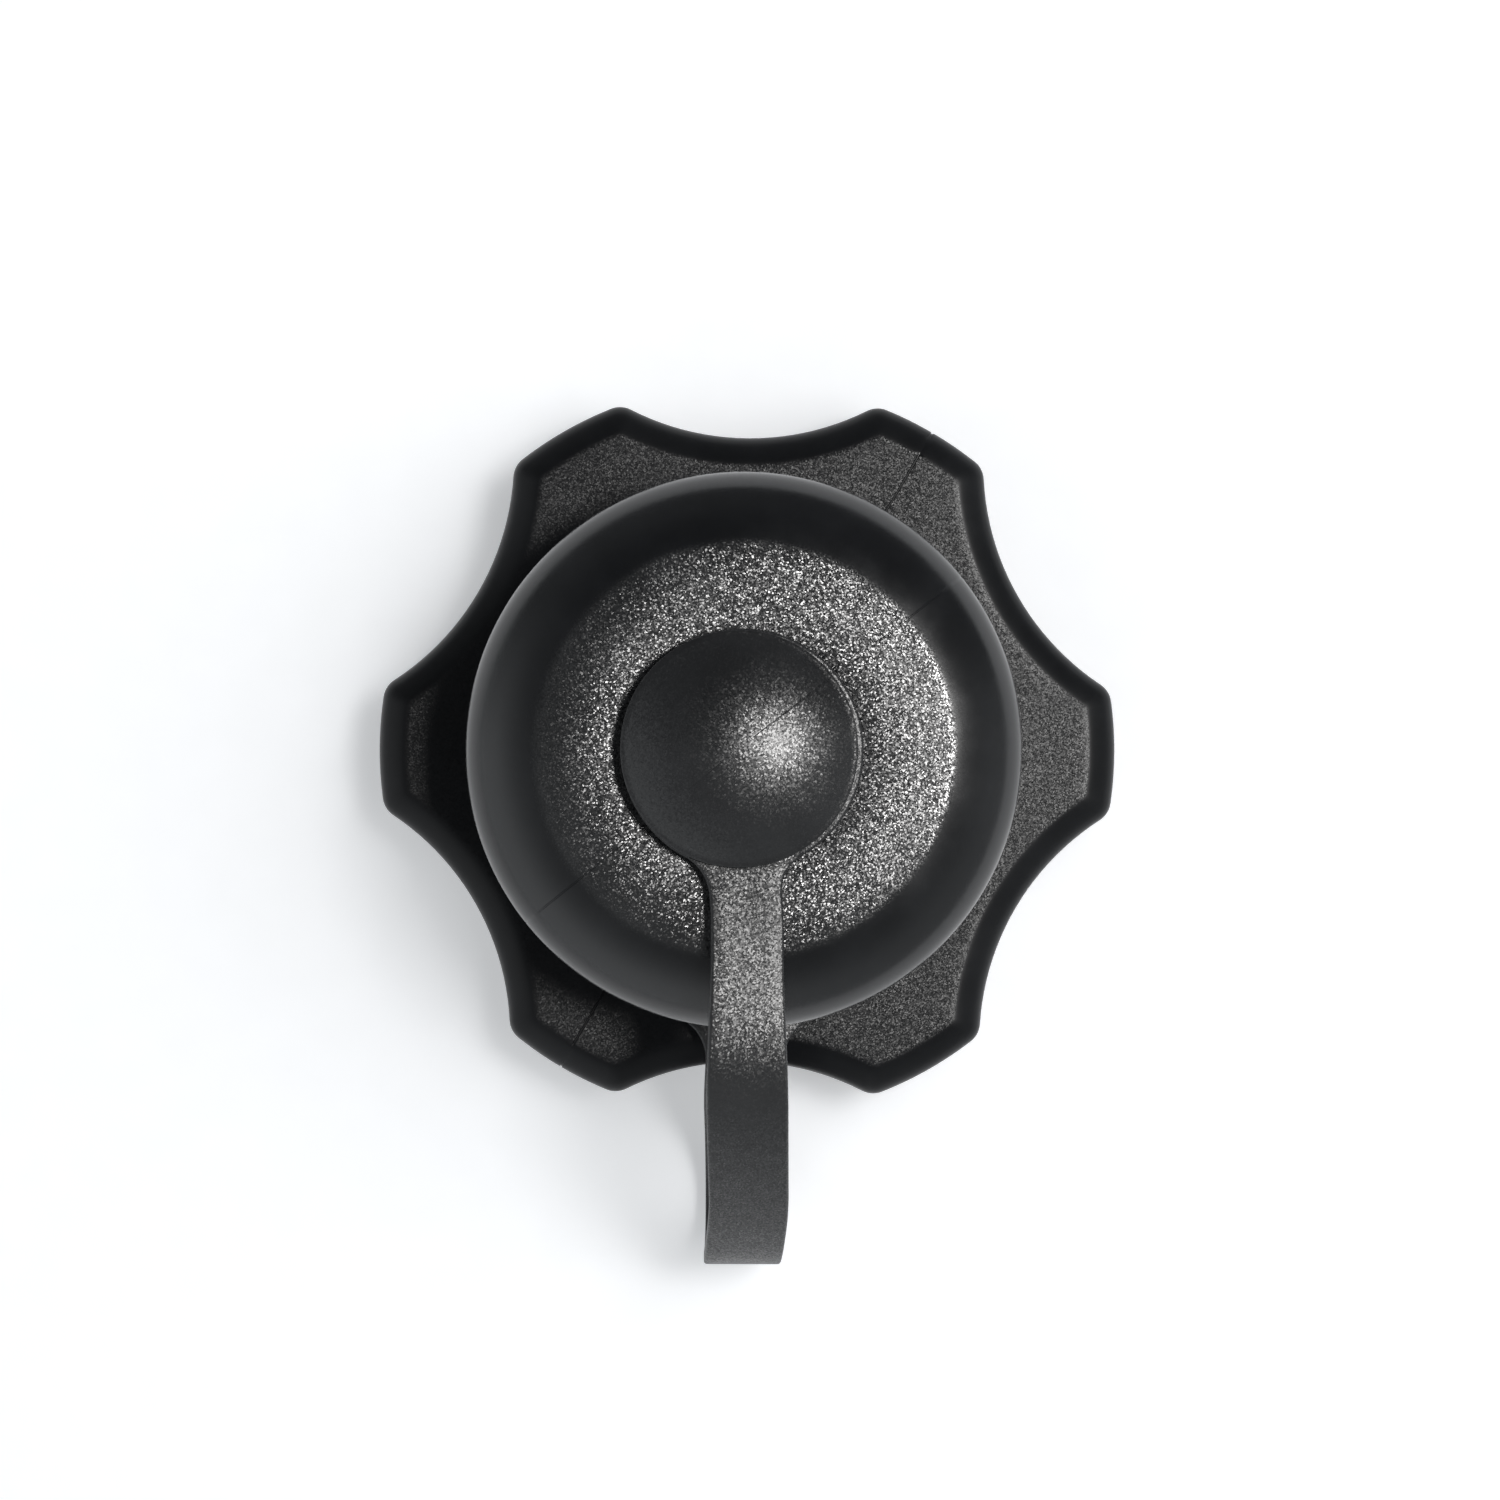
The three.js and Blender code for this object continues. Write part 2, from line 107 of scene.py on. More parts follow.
LOBE_POCKET = (23.4, 31.0, 3.8, 0.9)  # hollow under each lobe: nearest, farthest, half width, rounding
LOBE_POCKET_TOP = 6.8
SCREW_CIRCLE = 17.4
SCREW_HOLE = 1.5
SCREW_POCKET = 2.9
SCREW_POCKET_TOP = 4.9
EAR_SLOT = (13.9, 16.9, 2.4)  # slots for the clutch dog's ears: nearest, farthest, half width
SEAM_FLANGE = (math.radians(60) + TWIST, math.radians(240) + TWIST)
SEAM_DOME = math.radians(38.4)

DOME_RADIUS = DOME_HIGH.x - 0.2
DOME_FOOT = 19.5  # radius where the underside starts to curve up
DOME_WALL = 2.4
DOME_SEAM = 0.1  # width of the parting line
SCREW_RING = (15.0, 19.9, 18.5)  # ring inside that takes the screws: inner, outer, top
GRAIN_END = (18.0, 19.4)  # radii between which the crown's grain gives way to the smooth skin
SHOULDER = 12.0  # half width of the elliptical shoulder
RISE = 6.5  # its height
CROWN = DOME_HIGH.z
EQUATOR = CROWN - RISE
SEAT = 10.55  # radius of the lock's seat in the crown

STRAP_WIDTH = 7.3
STRAP_NECK = 6.5  # width where it leaves the cap
STRAP_THICK = RING_HIGH.z - RING_LOW.z
STRAP_EDGE = 0.32  # rounding of the moulding's edges
RING_INNER = 20.4
RING_OUTER = 25.9
RING_FLARE = 4.6
CAP_HEAD = CAP_HIGH.x
CAP_FLARE = 3.8
CAP_BUTTON = 10.55
CAP_SHIFT = (-0.25, 0.1)  # how far the button sits off the disc's centre
CAP_SEAM = 0.05
CAP_BOTTOM = 29.9
CAP_TOP = CAP_HIGH.z
STUB = 5.3

# Centre line of the strap from the cap over the dome and back under: (distance from the axis, height).
STRAP_ROUTE = [
    (7.5, 30.65), (11, 30.65), (15.4, 30.65), (18, 30.75), (21, 31), (24.5, 31.1), (28, 30.6), (31.3, 29.3),
    (34.6, 27.1), (38, 24.1), (41.4, 20.5), (44.6, 16.5), (47, 12.5), (48.1, 8.3), (47.8, 4.6), (46, 2.1),
    (43, 1.3), (39.8, 2.1), (36.8, 4.1), (34.2, 6.7), (31.9, 9.2), (29.7, 10.75), (27.7, 11.05), (25, 11.05),
    (22.6, 11.05),
]

# ---- mesh helpers ----


def mesh_piece(name, verts, faces, sharp=35):
    """A smooth-shaded object from millimetre coordinates, with edges over a given angle kept sharp."""
    mesh = bpy.data.meshes.new(name)
    mesh.from_pydata([Vector(v) * MM for v in verts], [], faces)
    mesh.update()
    piece = bpy.data.objects.new(name, mesh)
    bpy.context.scene.collection.objects.link(piece)
    tidy_normals(piece, sharp)
    return piece


def tidy_normals(piece, sharp=35):
    work = bmesh.new()
    work.from_mesh(piece.data)
    bmesh.ops.remove_doubles(work, verts=work.verts, dist=1e-7)
    bmesh.ops.dissolve_degenerate(work, edges=work.edges, dist=1e-8)
    bmesh.ops.recalc_face_normals(work, faces=work.faces)
    work.to_mesh(piece.data)
    work.free()
    piece.data.polygons.foreach_set("use_smooth", [True] * len(piece.data.polygons))
    piece.data.set_sharp_from_angle(angle=math.radians(sharp))
    piece.data.update()


def stitched(loops, closed=False):
    """Quads between loops of equal length. closed joins the last loop to the first."""
    count = len(loops[0])
    verts = [v for loop in loops for v in loop]
    faces = []
    rounds = len(loops) if closed else len(loops) - 1
    for i in range(rounds):
        a, b = i * count, ((i + 1) % len(loops)) * count
        for j in range(count):
            k = (j + 1) % count
            faces.append((a + j, a + k, b + k, b + j))
    return verts, faces


def fillets(corners, steps=5):
    """A profile of (radius, height) corners, those given as (radius, height, rounding) rounded off."""
    points = []
    for i, corner in enumerate(corners):
        here = Vector(corner[:2])
        if len(corner) < 3:
            points.append(here)
            continue
        before = (Vector(corners[i - 1][:2]) - here).normalized()
        after = (Vector(corners[(i + 1) % len(corners)][:2]) - here).normalized()
        half = before.angle(after) / 2
        reach = corner[2] / math.tan(half)
        centre = here + (before + after).normalized() * corner[2] / math.sin(half)
        start, end = here + before * reach - centre, here + after * reach - centre
        for k in range(steps + 1):
            share = k / steps
            points.append(centre + start.slerp(end, share).normalized() * corner[2])
    return points


def arc(centre, rx, rz, start, end, steps):
    """Points of an elliptical arc in degrees."""
    angles = [math.radians(start + (end - start) * k / steps) for k in range(steps + 1)]
    return [(centre[0] + rx * math.cos(a), centre[1] + rz * math.sin(a)) for a in angles]


def stations(count, seams=(), width=0.0):
    """Angles round a circle, with a close group of four at each seam."""
    angles = {round(TURN * i / count, 7) for i in range(count)}
    for seam in seams:
        angles = {a for a in angles if abs((a - seam + math.pi) % TURN - math.pi) > 1.5 * width}
        angles |= {round((seam + k * width) % TURN, 7) for k in (-1, -0.45, 0.45, 1)}
    return sorted(angles)


def lathe(name, profile, count=160, seams=(), seam_width=0.0, seam_depth=0.0, sharp=35):
    """A closed profile turned about Z, with a fine parting groove along the seam angles."""
    angles = stations(count, seams, seam_width)
    deep = {
        i for i, a in enumerate(angles)
        if any(abs((a - s + math.pi) % TURN - math.pi) < 0.5 * seam_width for s in seams)
    }
    loops = []
    for radius, height in profile:
        sink = seam_depth if radius > 0.5 else 0
        sinks = [sink if i in deep else 0 for i in range(len(angles))]
        loops.append([(*polar(radius - d / 2, a), height - d) for d, a in zip(sinks, angles)])
    verts, faces = stitched(loops, closed=True)
    return mesh_piece(name, verts, faces, sharp)


def cut(piece, tool):
    """Cuts a tool out of a piece, and removes the tool."""
    step = piece.modifiers.new("cut", "BOOLEAN")
    step.operation = "DIFFERENCE"
    step.solver = "EXACT"
    step.object = tool
    graph = bpy.context.evaluated_depsgraph_get()
    final = bpy.data.meshes.new_from_object(piece.evaluated_get(graph))
    piece.modifiers.clear()
    old = piece.data
    piece.data = final
    bpy.data.meshes.remove(old)
    bpy.data.objects.remove(tool)


def prism(name, outline, low, high):
    """A straight prism on a flat outline."""
    loops = [[(x, y, z) for x, y in outline] for z in (low, high)]
    verts, faces = stitched(loops)
    count = len(outline)
    faces += [tuple(reversed(range(count))), tuple(range(count, 2 * count))]
    return mesh_piece(name, verts, faces)


def polar(radius, angle):
    return radius * math.cos(angle), radius * math.sin(angle)


def circle(radius, count=32, at=(0, 0)):
    angles = [TURN * i / count for i in range(count)]
    return [(at[0] + radius * math.cos(a), at[1] + radius * math.sin(a)) for a in angles]


def turned_outline(outline, angle):
    c, s = math.cos(angle), math.sin(angle)
    return [(x * c - y * s, x * s + y * c) for x, y in outline]


def rounded_box(x0, x1, half, rounding, steps=5):
    """A rectangle along +X with rounded corners."""
    corners = [(x0, -half, rounding), (x1, -half, rounding), (x1, half, rounding), (x0, half, rounding)]
    return [tuple(p) for p in fillets(corners, steps)]


# ---- materials ----


class Shader:
    """A Principled material put together node by node."""

    def __init__(self, name, **values):
        self.material = bpy.data.materials.new(name)
        self.material.use_nodes = True
        self.nodes = self.material.node_tree.nodes
        self.links = self.material.node_tree.links
        self.main = self.nodes["Principled BSDF"]
        for socket, value in values.items():
            self.main.inputs[socket.replace("_", " ")].default_value = value
        self.place = self.add("ShaderNodeTexCoord").outputs["Object"]

    def add(self, kind, **settings):
        node = self.nodes.new(kind)
        for key, value in settings.items():
            if key in node.inputs:
                node.inputs[key].default_value = value
            else:
                setattr(node, key, value)
        return node

    def link(self, source, node, socket):
        self.links.new(source, node.inputs[socket])

    def noise(self, scale, detail=2.0, roughness=0.5, offset=(0, 0, 0)):
        mapping = self.add("ShaderNodeMapping")
        mapping.inputs["Location"].default_value = offset
        self.link(self.place, mapping, "Vector")
        node = self.add("ShaderNodeTexNoise", Scale=scale, Detail=detail, Roughness=roughness)
        self.link(mapping.outputs[0], node, "Vector")
        return node.outputs["Fac"]

    def ramp(self, source, low, high, to_low=0.0, to_high=1.0):
        node = self.add("ShaderNodeMapRange", interpolation_type="SMOOTHSTEP")
        for socket, value in (("From Min", low), ("From Max", high), ("To Min", to_low), ("To Max", to_high)):
            node.inputs[socket].default_value = value
        self.link(source, node, "Value")
        return node.outputs["Result"]

    def maths(self, operation, a, b):
        node = self.add("ShaderNodeMath", operation=operation)
        for index, value in enumerate((a, b)):
            if isinstance(value, (int, float)):
                node.inputs[index].default_value = value
            else:
                self.links.new(value, node.inputs[index])
        return node.outputs[0]

    def mix_colour(self, factor, first, second):
        node = self.add("ShaderNodeMix", data_type="RGBA")
        node.inputs[6].default_value = (*first, 1)
        node.inputs[7].default_value = (*second, 1)
        self.links.new(factor, node.inputs[0])
        return node.outputs[2]

    def axis(self, which):
        node = self.add("ShaderNodeSeparateXYZ")
        self.link(self.place, node, 0)
        return node.outputs[which]

    def radius(self):
        node = self.add("ShaderNodeVectorMath", operation="MULTIPLY")
        node.inputs[1].default_value = (1, 1, 0)
        self.link(self.place, node, 0)
        length = self.add("ShaderNodeVectorMath", operation="LENGTH")
        self.link(node.outputs[0], length, 0)
        return length.outputs["Value"]

    def bump(self, height, distance, strength):
        node = self.add("ShaderNodeBump", Distance=distance, Strength=strength)
        self.link(height, node, "Height")
        return node.outputs["Normal"]

    def colour(self, source):
        self.link(source, self.main, "Base Color")

    def rough(self, source):
        self.link(source, self.main, "Roughness")

    def normal(self, source):
        self.link(source, self.main, "Normal")


def grained_plastic(
    name, base, mask_of=None, cell=0.22, tilt=0.5, grain_rough=0.3, smooth_rough=0.38, specular=0.5,
):
    """Moulded plastic: spark-eroded facets where the mask is 1, a smooth satin skin where it is 0.

    Each facet leans its own way, so a lamp picks out some of them as glints. Without a mask it is all grain.
    """
    s = Shader(name, IOR=1.5, Specular_IOR_Level=specular)
    cells = s.add("ShaderNodeTexVoronoi", Scale=1 / (cell * MM), Randomness=1.0)
    s.link(s.place, cells, "Vector")
    lean = s.add("ShaderNodeVectorMath", operation="SUBTRACT")
    s.link(cells.outputs["Color"], lean, 0)
    lean.inputs[1].default_value = (0.5, 0.5, 0.5)
    scaled = s.add("ShaderNodeVectorMath", operation="SCALE")
    s.link(lean.outputs[0], scaled, 0)
    if mask_of:
        mask = mask_of(s)
        s.link(s.maths("MULTIPLY", mask, tilt), scaled, "Scale")
        rough = s.ramp(mask, 0, 1, smooth_rough, grain_rough)
    else:
        scaled.inputs["Scale"].default_value = tilt
        rough = grain_rough
    skin = s.noise(700, detail=4, roughness=0.6, offset=(0.5, 0.2, 0.1))
    soft = s.bump(skin, 0.00002, 0.2)
    leaned = s.add("ShaderNodeVectorMath", operation="ADD")
    s.link(soft, leaned, 0)
    s.link(scaled.outputs[0], leaned, 1)
    unit = s.add("ShaderNodeVectorMath", operation="NORMALIZE")
    s.link(leaned.outputs[0], unit, 0)
    s.normal(unit.outputs[0])
    worn = s.noise(140, detail=5, roughness=0.6, offset=(0.9, 0.4, 0.2))
    s.colour(s.mix_colour(s.ramp(worn, 0.35, 0.7), base, tuple(c * 1.35 for c in base)))
    s.rough(s.maths("ADD", rough, s.ramp(worn, 0.3, 0.8, -0.03, 0.04)))
    return s.material


def metal(name, colour, rough, turned=True, scratch=0.3):
    """Machined or plated metal with turning marks or a cast mottle."""
    s = Shader(name, Metallic=1.0)
    if turned:
        rings = s.add(
            "ShaderNodeTexWave", wave_type="RINGS", rings_direction="Z", Scale=1100.0, Distortion=0.6,
        )
        rings.inputs["Detail"].default_value = 2
        s.link(s.place, rings, "Vector")
        height = rings.outputs["Fac"]
    else:
        height = s.noise(1500, detail=3, roughness=0.6)
    s.normal(s.bump(height, 0.00001, scratch))
    patch = s.noise(220, detail=4, roughness=0.6)
    s.rough(s.ramp(patch, 0.3, 0.7, rough - 0.06, rough + 0.1))
    s.colour(s.mix_colour(s.ramp(patch, 0.35, 0.7), colour, tuple(c * 0.82 for c in colour)))
    return s.material


def flat_top_mask(shader):
    """Grain on the flange's flat top and the neck, none on its rounded edge or below."""
    height = shader.axis("Z")
    return shader.ramp(height, (FLANGE_TOP - 0.11) * MM, (FLANGE_TOP - 0.02) * MM)


def dome_mask(shader):
    """Grain over the crown, fading out down the shoulder."""
    start, end = GRAIN_END
    return shader.ramp(shader.radius(), start * MM, end * MM, 1.0, 0.03)


# ---- the grip ----


def lobed_outline(inset, tip_steps=12, valley_steps=22, corner_steps=7, seam=0.13):
    """The flange's outline, inset from its edge, always with the same number of points.

    Each tip has four close points in its middle, for a parting line.
    """
    corner = CORNER + (CORNER_INNER - CORNER) * inset / EDGE
    tip, hollow = TIP - inset, VALLEY_ARC + inset
    reach = VALLEY + VALLEY_ARC
    ring = tip - corner
    pitch = TURN / LOBES
    half = pitch / 2 - math.acos((ring**2 + reach**2 - (hollow + corner) ** 2) / (2 * ring * reach))
    points = []
    for lobe in (pitch * i + TWIST for i in range(LOBES)):
        start, end = Vector(polar(ring, lobe - half)), Vector(polar(ring, lobe + half))
        before, after = Vector(polar(reach, lobe - pitch / 2)), Vector(polar(reach, lobe + pitch / 2))
        following = Vector(polar(ring, lobe + pitch - half))
        turn_in = angle_between(direction(before - start), lobe - half)
        turn_out = angle_between(lobe + half, direction(after - end))
        for k in range(corner_steps):
            angle = lobe - half - turn_in * (1 - k / corner_steps)
            points.append(tuple(start + corner * Vector(polar(1, angle))))
        steps = [-1 + 2 * k / tip_steps for k in range(tip_steps + 1) if 2 * k != tip_steps]
        offsets = sorted([half * s for s in steps] + [s * seam / tip for s in (-1, -0.45, 0.45, 1)])
        points += [polar(tip, lobe + o) for o in offsets]
        for k in range(1, corner_steps + 1):
            angle = lobe + half + turn_out * k / corner_steps
            points.append(tuple(end + corner * Vector(polar(1, angle))))
        first = direction(end - after)
        sweep = angle_between(direction(following - after), first)
        for k in range(1, valley_steps):
            points.append(tuple(after + hollow * Vector(polar(1, first - sweep * k / valley_steps))))
    return points


def direction(vector):
    return math.atan2(vector.y, vector.x)


def angle_between(low, high):
    return (high - low) % TURN


def seam_flags():
    """Which points of the outline lie in the parting line's groove."""
    flags = []
    for x, y in lobed_outline(0):
        angle = math.atan2(y, x)
        offset = min(abs((angle - s + math.pi) % TURN - math.pi) for s in SEAM_FLANGE) * TIP
        flags.append(offset < 0.09)
    return flags


def grip_piece():
    """The six-lobed flange with its rounded edge, neck, hub bore and underside."""
    flags = seam_flags()
    loops = []

    def outline_loop(inset, height, sink=0.0):
        loop = []
        for (x, y), seam in zip(lobed_outline(inset), flags):
            length = math.hypot(x, y)
            pull = (1 - sink * GROOVE / length) if seam else 1
            drop = GROOVE * (1 - sink) if seam and height > FLANGE_TOP - 0.1 else 0
            loop.append((x * pull, y * pull, height - drop))
        loops.append(loop)

    def ring_loop(radius, height, share=1.0):
        """share 1 is a circle; less keeps part of the lobed shape."""
        base = lobed_outline(EDGE)
        loop = []
        for (x, y), seam in zip(base, flags):
            length = math.hypot(x, y)
            to = radius * share + length * (1 - share)
            drop = GROOVE if seam and abs(height - FLANGE_TOP) < 0.01 and to > NECK + NECK_ROOT + 0.2 else 0
            loop.append((x / length * to, y / length * to, height - drop))
        loops.append(loop)

    for k in range(8):
        angle = math.radians(90 * k / 7)
        outline_loop(LOW_ROUND * (1 - math.sin(angle)), FLANGE_BOTTOM + LOW_ROUND * (1 - math.cos(angle)), 1)
    for inset, drop in EDGE_PROFILE:
        outline_loop(inset, FLANGE_TOP - drop, 1 - inset / EDGE)
    for share in (0.12, 0.3, 0.5, 0.7, 0.85):
        ring_loop(NECK + NECK_ROOT, FLANGE_TOP, share)
    for point in arc((NECK + NECK_ROOT, FLANGE_TOP + NECK_ROOT), NECK_ROOT, NECK_ROOT, 270, 180, 4):
        ring_loop(*point)
    bevel = 0.3
    for point in (
        (NECK, NECK_TOP - bevel), (NECK - bevel, NECK_TOP), (NECK_INNER, NECK_TOP), (NECK_INNER, NECK_FLOOR),
        (HUB_BORE, NECK_FLOOR), (HUB_BORE, COLLAR_POCKET_TOP), (COLLAR_POCKET, COLLAR_POCKET_TOP),
        (COLLAR_POCKET, FLANGE_BOTTOM + bevel), (COLLAR_POCKET + bevel, FLANGE_BOTTOM),
    ):
        ring_loop(*point)
    for share in (0.75, 0.5, 0.25):
        loop = []
        for x, y in lobed_outline(LOW_ROUND):
            length = math.hypot(x, y)
            scale = ((COLLAR_POCKET + bevel) * share + length * (1 - share)) / length
            loop.append((x * scale, y * scale, FLANGE_BOTTOM))
        loops.append(loop)
    verts, faces = stitched(loops, closed=True)
    piece = mesh_piece("lobed_grip", verts, faces, sharp=40)
    for i in range(LOBES):
        pocket = turned_outline(rounded_box(*LOBE_POCKET), TURN * i / LOBES)
        cut(piece, prism("tool", pocket, FLANGE_BOTTOM - 1, LOBE_POCKET_TOP))
    for angle in screw_angles():
        place = polar(SCREW_CIRCLE, angle)
        cut(piece, prism("tool", circle(SCREW_POCKET, 40, place), FLANGE_BOTTOM - 1, SCREW_POCKET_TOP))
        cut(piece, prism("tool", circle(SCREW_HOLE, 24, place), SCREW_POCKET_TOP - 0.4, NECK_TOP + 1))
    cut_ear_slots(piece, NECK_TOP - 1.8, NECK_TOP + 1)
    tidy_normals(piece, 40)
    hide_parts("grip_base")
    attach(piece, "grip")
    return piece


def screw_angles():
    return [TURN / 12 + TURN * i / 3 for i in range(3)]


def cut_ear_slots(piece, low, high):
    """Three slots round the hub, which the clutch dog's ears slide in."""
    near, far, half = EAR_SLOT
    outline = [(near, -half), (far, -half), (far, half), (near, half)]
    for i in range(3):
        slot = turned_outline(outline, TURN / 4 + TURN * i / 3)
        cut(piece, prism("tool", slot, low, high))


def dome_piece():
    """The mushroom-shaped cover, with its lock seat, inside wall and screw ring."""
    centre = DOME_RADIUS - SHOULDER
    inner, outer, ring_top = SCREW_RING
    lip = 0.3
    belt = 0.5  # height of the upright stretch at the widest point
    outside = [
        (inner, DOME_LOW.z), (DOME_FOOT - 1, DOME_LOW.z),
        *arc((DOME_FOOT, EQUATOR - belt), DOME_RADIUS - DOME_FOOT, EQUATOR - belt - DOME_LOW.z, -90, 0, 16),
        *arc((centre, EQUATOR), SHOULDER, RISE, 0, 90, 36),
        *arc((SEAT + lip, CROWN - lip), lip, lip, 90, 180, 4),
    ]
    inside = [
        (SEAT, 28.0), (9.4, 28.0), (9.4, CROWN - DOME_WALL), (12.0, CROWN - DOME_WALL),
        *arc((centre, EQUATOR), SHOULDER - DOME_WALL, RISE - DOME_WALL, 90, 0, 12),
        (22.6, 19.0), (21.4, 17.1), (outer, 16.3), (outer, ring_top), (inner, ring_top), (inner, 16.0),
    ]
    piece = lathe(
        "dome_cover", outside + inside, count=220, seams=(SEAM_DOME, SEAM_DOME + math.pi),
        seam_width=DOME_SEAM / 22, seam_depth=0.05, sharp=40,
    )
    cut_ear_slots(piece, DOME_LOW.z - 1, 15.4)
    for angle in screw_angles():
        hole = circle(SCREW_HOLE, 24, polar(SCREW_CIRCLE, angle))
        cut(piece, prism("tool", hole, DOME_LOW.z - 1, 17.9))
    tidy_normals(piece, 40)
    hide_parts("dome_shell")
    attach(piece, "grip")
    return piece


# ---- tether and cap ----


def catmull(points, per_span=8):
    """A uniform Catmull-Rom line through the points."""
    ends = [2 * points[0] - points[1], *points, 2 * points[-1] - points[-2]]
    line = []
    for i in range(1, len(ends) - 2):
        a, b, c, d = ends[i - 1], ends[i], ends[i + 1], ends[i + 2]
        for k in range(per_span):
            t = k / per_span
            line.append(0.5 * (
                2 * b + (c - a) * t + (2 * a - 5 * b + 4 * c - d) * t * t + (3 * b - a - 3 * c + d) * t**3
            ))
    line.append(points[-1].copy())
    return line


def flare_half_width(out, disc, flare, width):
    """Half the strap's width where its edge runs into a disc in a concave arc."""
    inside = 0.985  # the strap's end stays just within the disc's edge
    across = width / 2 + flare
    along = math.sqrt((disc + flare) ** 2 - across**2)
    touch = along * disc / (disc + flare)
    if out >= along:
        return width / 2
    if out <= touch:
        return across * disc / (disc + flare) * inside
    return across - math.sqrt(flare**2 - (along - out) ** 2)


def strap_piece():
    """The flat strap, from under the cap's button to inside the ring, with rounded edges."""
    route = [Vector((0, -out, height)) for out, height in STRAP_ROUTE]
    line = catmull(route)
    lengths = [0.0]
    for a, b in zip(line, line[1:]):
        lengths.append(lengths[-1] + (b - a).length)
    total = lengths[-1]
    loops = []
    for i, here in enumerate(line):
        share = lengths[i] / total
        ahead = (line[min(i + 1, len(line) - 1)] - line[max(i - 1, 0)]).normalized()
        normal = Vector((0, -ahead.z, ahead.y)) * -1
        out = -here.y
        upper = share < 0.5
        if upper and out < 18:
            half = flare_half_width(out, CAP_HEAD, CAP_FLARE, STRAP_NECK)
        elif not upper and out < 31:
            half = flare_half_width(out, RING_OUTER, RING_FLARE, STRAP_WIDTH)
        else:
            widened = smooth((out - 18) / 14) if upper else 1
            half = STRAP_NECK / 2 + (STRAP_WIDTH - STRAP_NECK) / 2 * widened
        drift = 0.45 * smooth(share / 0.1) - 0.85 * smooth((share - 0.42) / 0.2)
        drift += 0.4 * smooth((share - 0.85) / 0.12)
        roll = math.radians(4) * smooth(share / 0.15) * (1 - smooth((share - 0.25) / 0.2))
        loops.append(ribbon_section(here + Vector((drift, 0, 0)), normal, half, roll))
    verts, faces = stitched(loops)
    count = len(loops[0])
    last = (len(loops) - 1) * count
    faces += [tuple(reversed(range(count))), tuple(range(last, last + count))]
    return mesh_piece("tether_band", verts, faces, sharp=50)


def smooth(t):
    t = min(max(t, 0.0), 1.0)
    return t * t * (3 - 2 * t)


def ribbon_section(centre, normal, half, roll):
    """A rounded rectangle across the strap: flat top and bottom, round edges, rolled about its length."""
    thick = STRAP_THICK / 2 - 0.01
    edge = STRAP_EDGE
    section = []
    for sign_u, sign_n, first in ((1, 1, 90), (1, -1, 0), (-1, -1, -90), (-1, 1, -180)):
        for k in range(5):
            angle = math.radians(first - 90 * k / 4)
            u = sign_u * (half - edge) + edge * math.cos(angle)
            n = sign_n * (thick - edge) + edge * math.sin(angle)
            section.append((u, n))
    flat = 6
    full = []
    for i, point in enumerate(section):
        full.append(point)
        following = section[(i + 1) % len(section)]
        if abs(following[0] - point[0]) > half:
            for k in range(1, flat):
                t = k / flat
                full.append((point[0] + (following[0] - point[0]) * t, point[1]))
    side = Vector((math.cos(roll), 0, 0)) - normal * math.sin(roll)
    up = normal * math.cos(roll) + Vector((math.sin(roll), 0, 0))
    return [tuple(centre + side * u + up * n) for u, n in full]


def ring_piece():
    low, high, edge = RING_LOW.z, RING_HIGH.z, STRAP_EDGE
    profile = fillets([
        (RING_INNER, low, edge), (RING_OUTER, low, edge), (RING_OUTER, high, edge), (RING_INNER, high, edge),
    ], 4)
    return lathe("tether_collar", profile, count=160, sharp=50)


def tether_pieces():
    strap = strap_piece()
    ring = ring_piece()
    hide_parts("tether_strap")
    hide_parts("tether_ring")
    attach(ring, "tether")
    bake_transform(strap)
    return strap, ring


def cap_pieces():
    """The strap's head disc with the plug under it, and the domed button on top."""
    edge = STRAP_EDGE
    head_top = CAP_BOTTOM + STRAP_THICK
    centre = 0.01  # the profiles stop just short of the axis
    bevel, root = 0.5, 0.3
    head = lathe("cap_head", [
        (centre, CAP_LOW.z), (STUB - bevel, CAP_LOW.z), (STUB, CAP_LOW.z + bevel), (STUB, CAP_BOTTOM - root),
        *arc((STUB + root, CAP_BOTTOM - root), root, root, 180, 90, 3),
        *fillets([(CAP_HEAD, CAP_BOTTOM, edge), (CAP_HEAD, head_top, edge), (CAP_HEAD - 1.5, head_top)])[:-1],
        (CAP_BUTTON - 0.6, head_top), (centre, head_top),
    ], count=128, sharp=50)
    wall_top = head_top + 0.6
    rise = CAP_TOP - wall_top
    reach = CAP_BUTTON - 0.25
    radius = (reach**2 + rise**2) / (2 * rise)
    steps = 26
    radii = [max(reach * (1 - k / steps), centre) for k in range(steps + 1)]
    crown = [(r, CAP_TOP - radius + math.sqrt(radius**2 - r**2)) for r in radii]
    wall = [
        (centre, head_top - root), (CAP_BUTTON, head_top - root), (CAP_BUTTON, wall_top - 0.12),
        (CAP_BUTTON - 0.08, wall_top - 0.03),
    ]
    button = lathe(
        "cap_button", wall + crown, count=160, seams=(SEAM_DOME, SEAM_DOME + math.pi),
        seam_width=CAP_SEAM / 8, seam_depth=0.008, sharp=50,
    )
    button.location = Vector((*CAP_SHIFT, 0)) * MM
    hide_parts("dust_cap")
    for piece in (head, button):
        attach(piece, "cap")
    return head, button


# ---- metal pieces ----


def foot_piece():
    """The washer under the grip, which bears on the work."""
    low, high = FOOT_LOW.z, FOOT_HIGH.z
    inner, outer = 4.7, FOOT_HIGH.x
    profile = fillets([(inner, low, 0.3), (outer, low, 0.35), (outer, high, 0.2), (inner, high, 0.2)], 4)
    piece = lathe("steel_foot", profile, 128)
    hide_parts("pressure_foot")
    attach(piece, "core")
    return piece


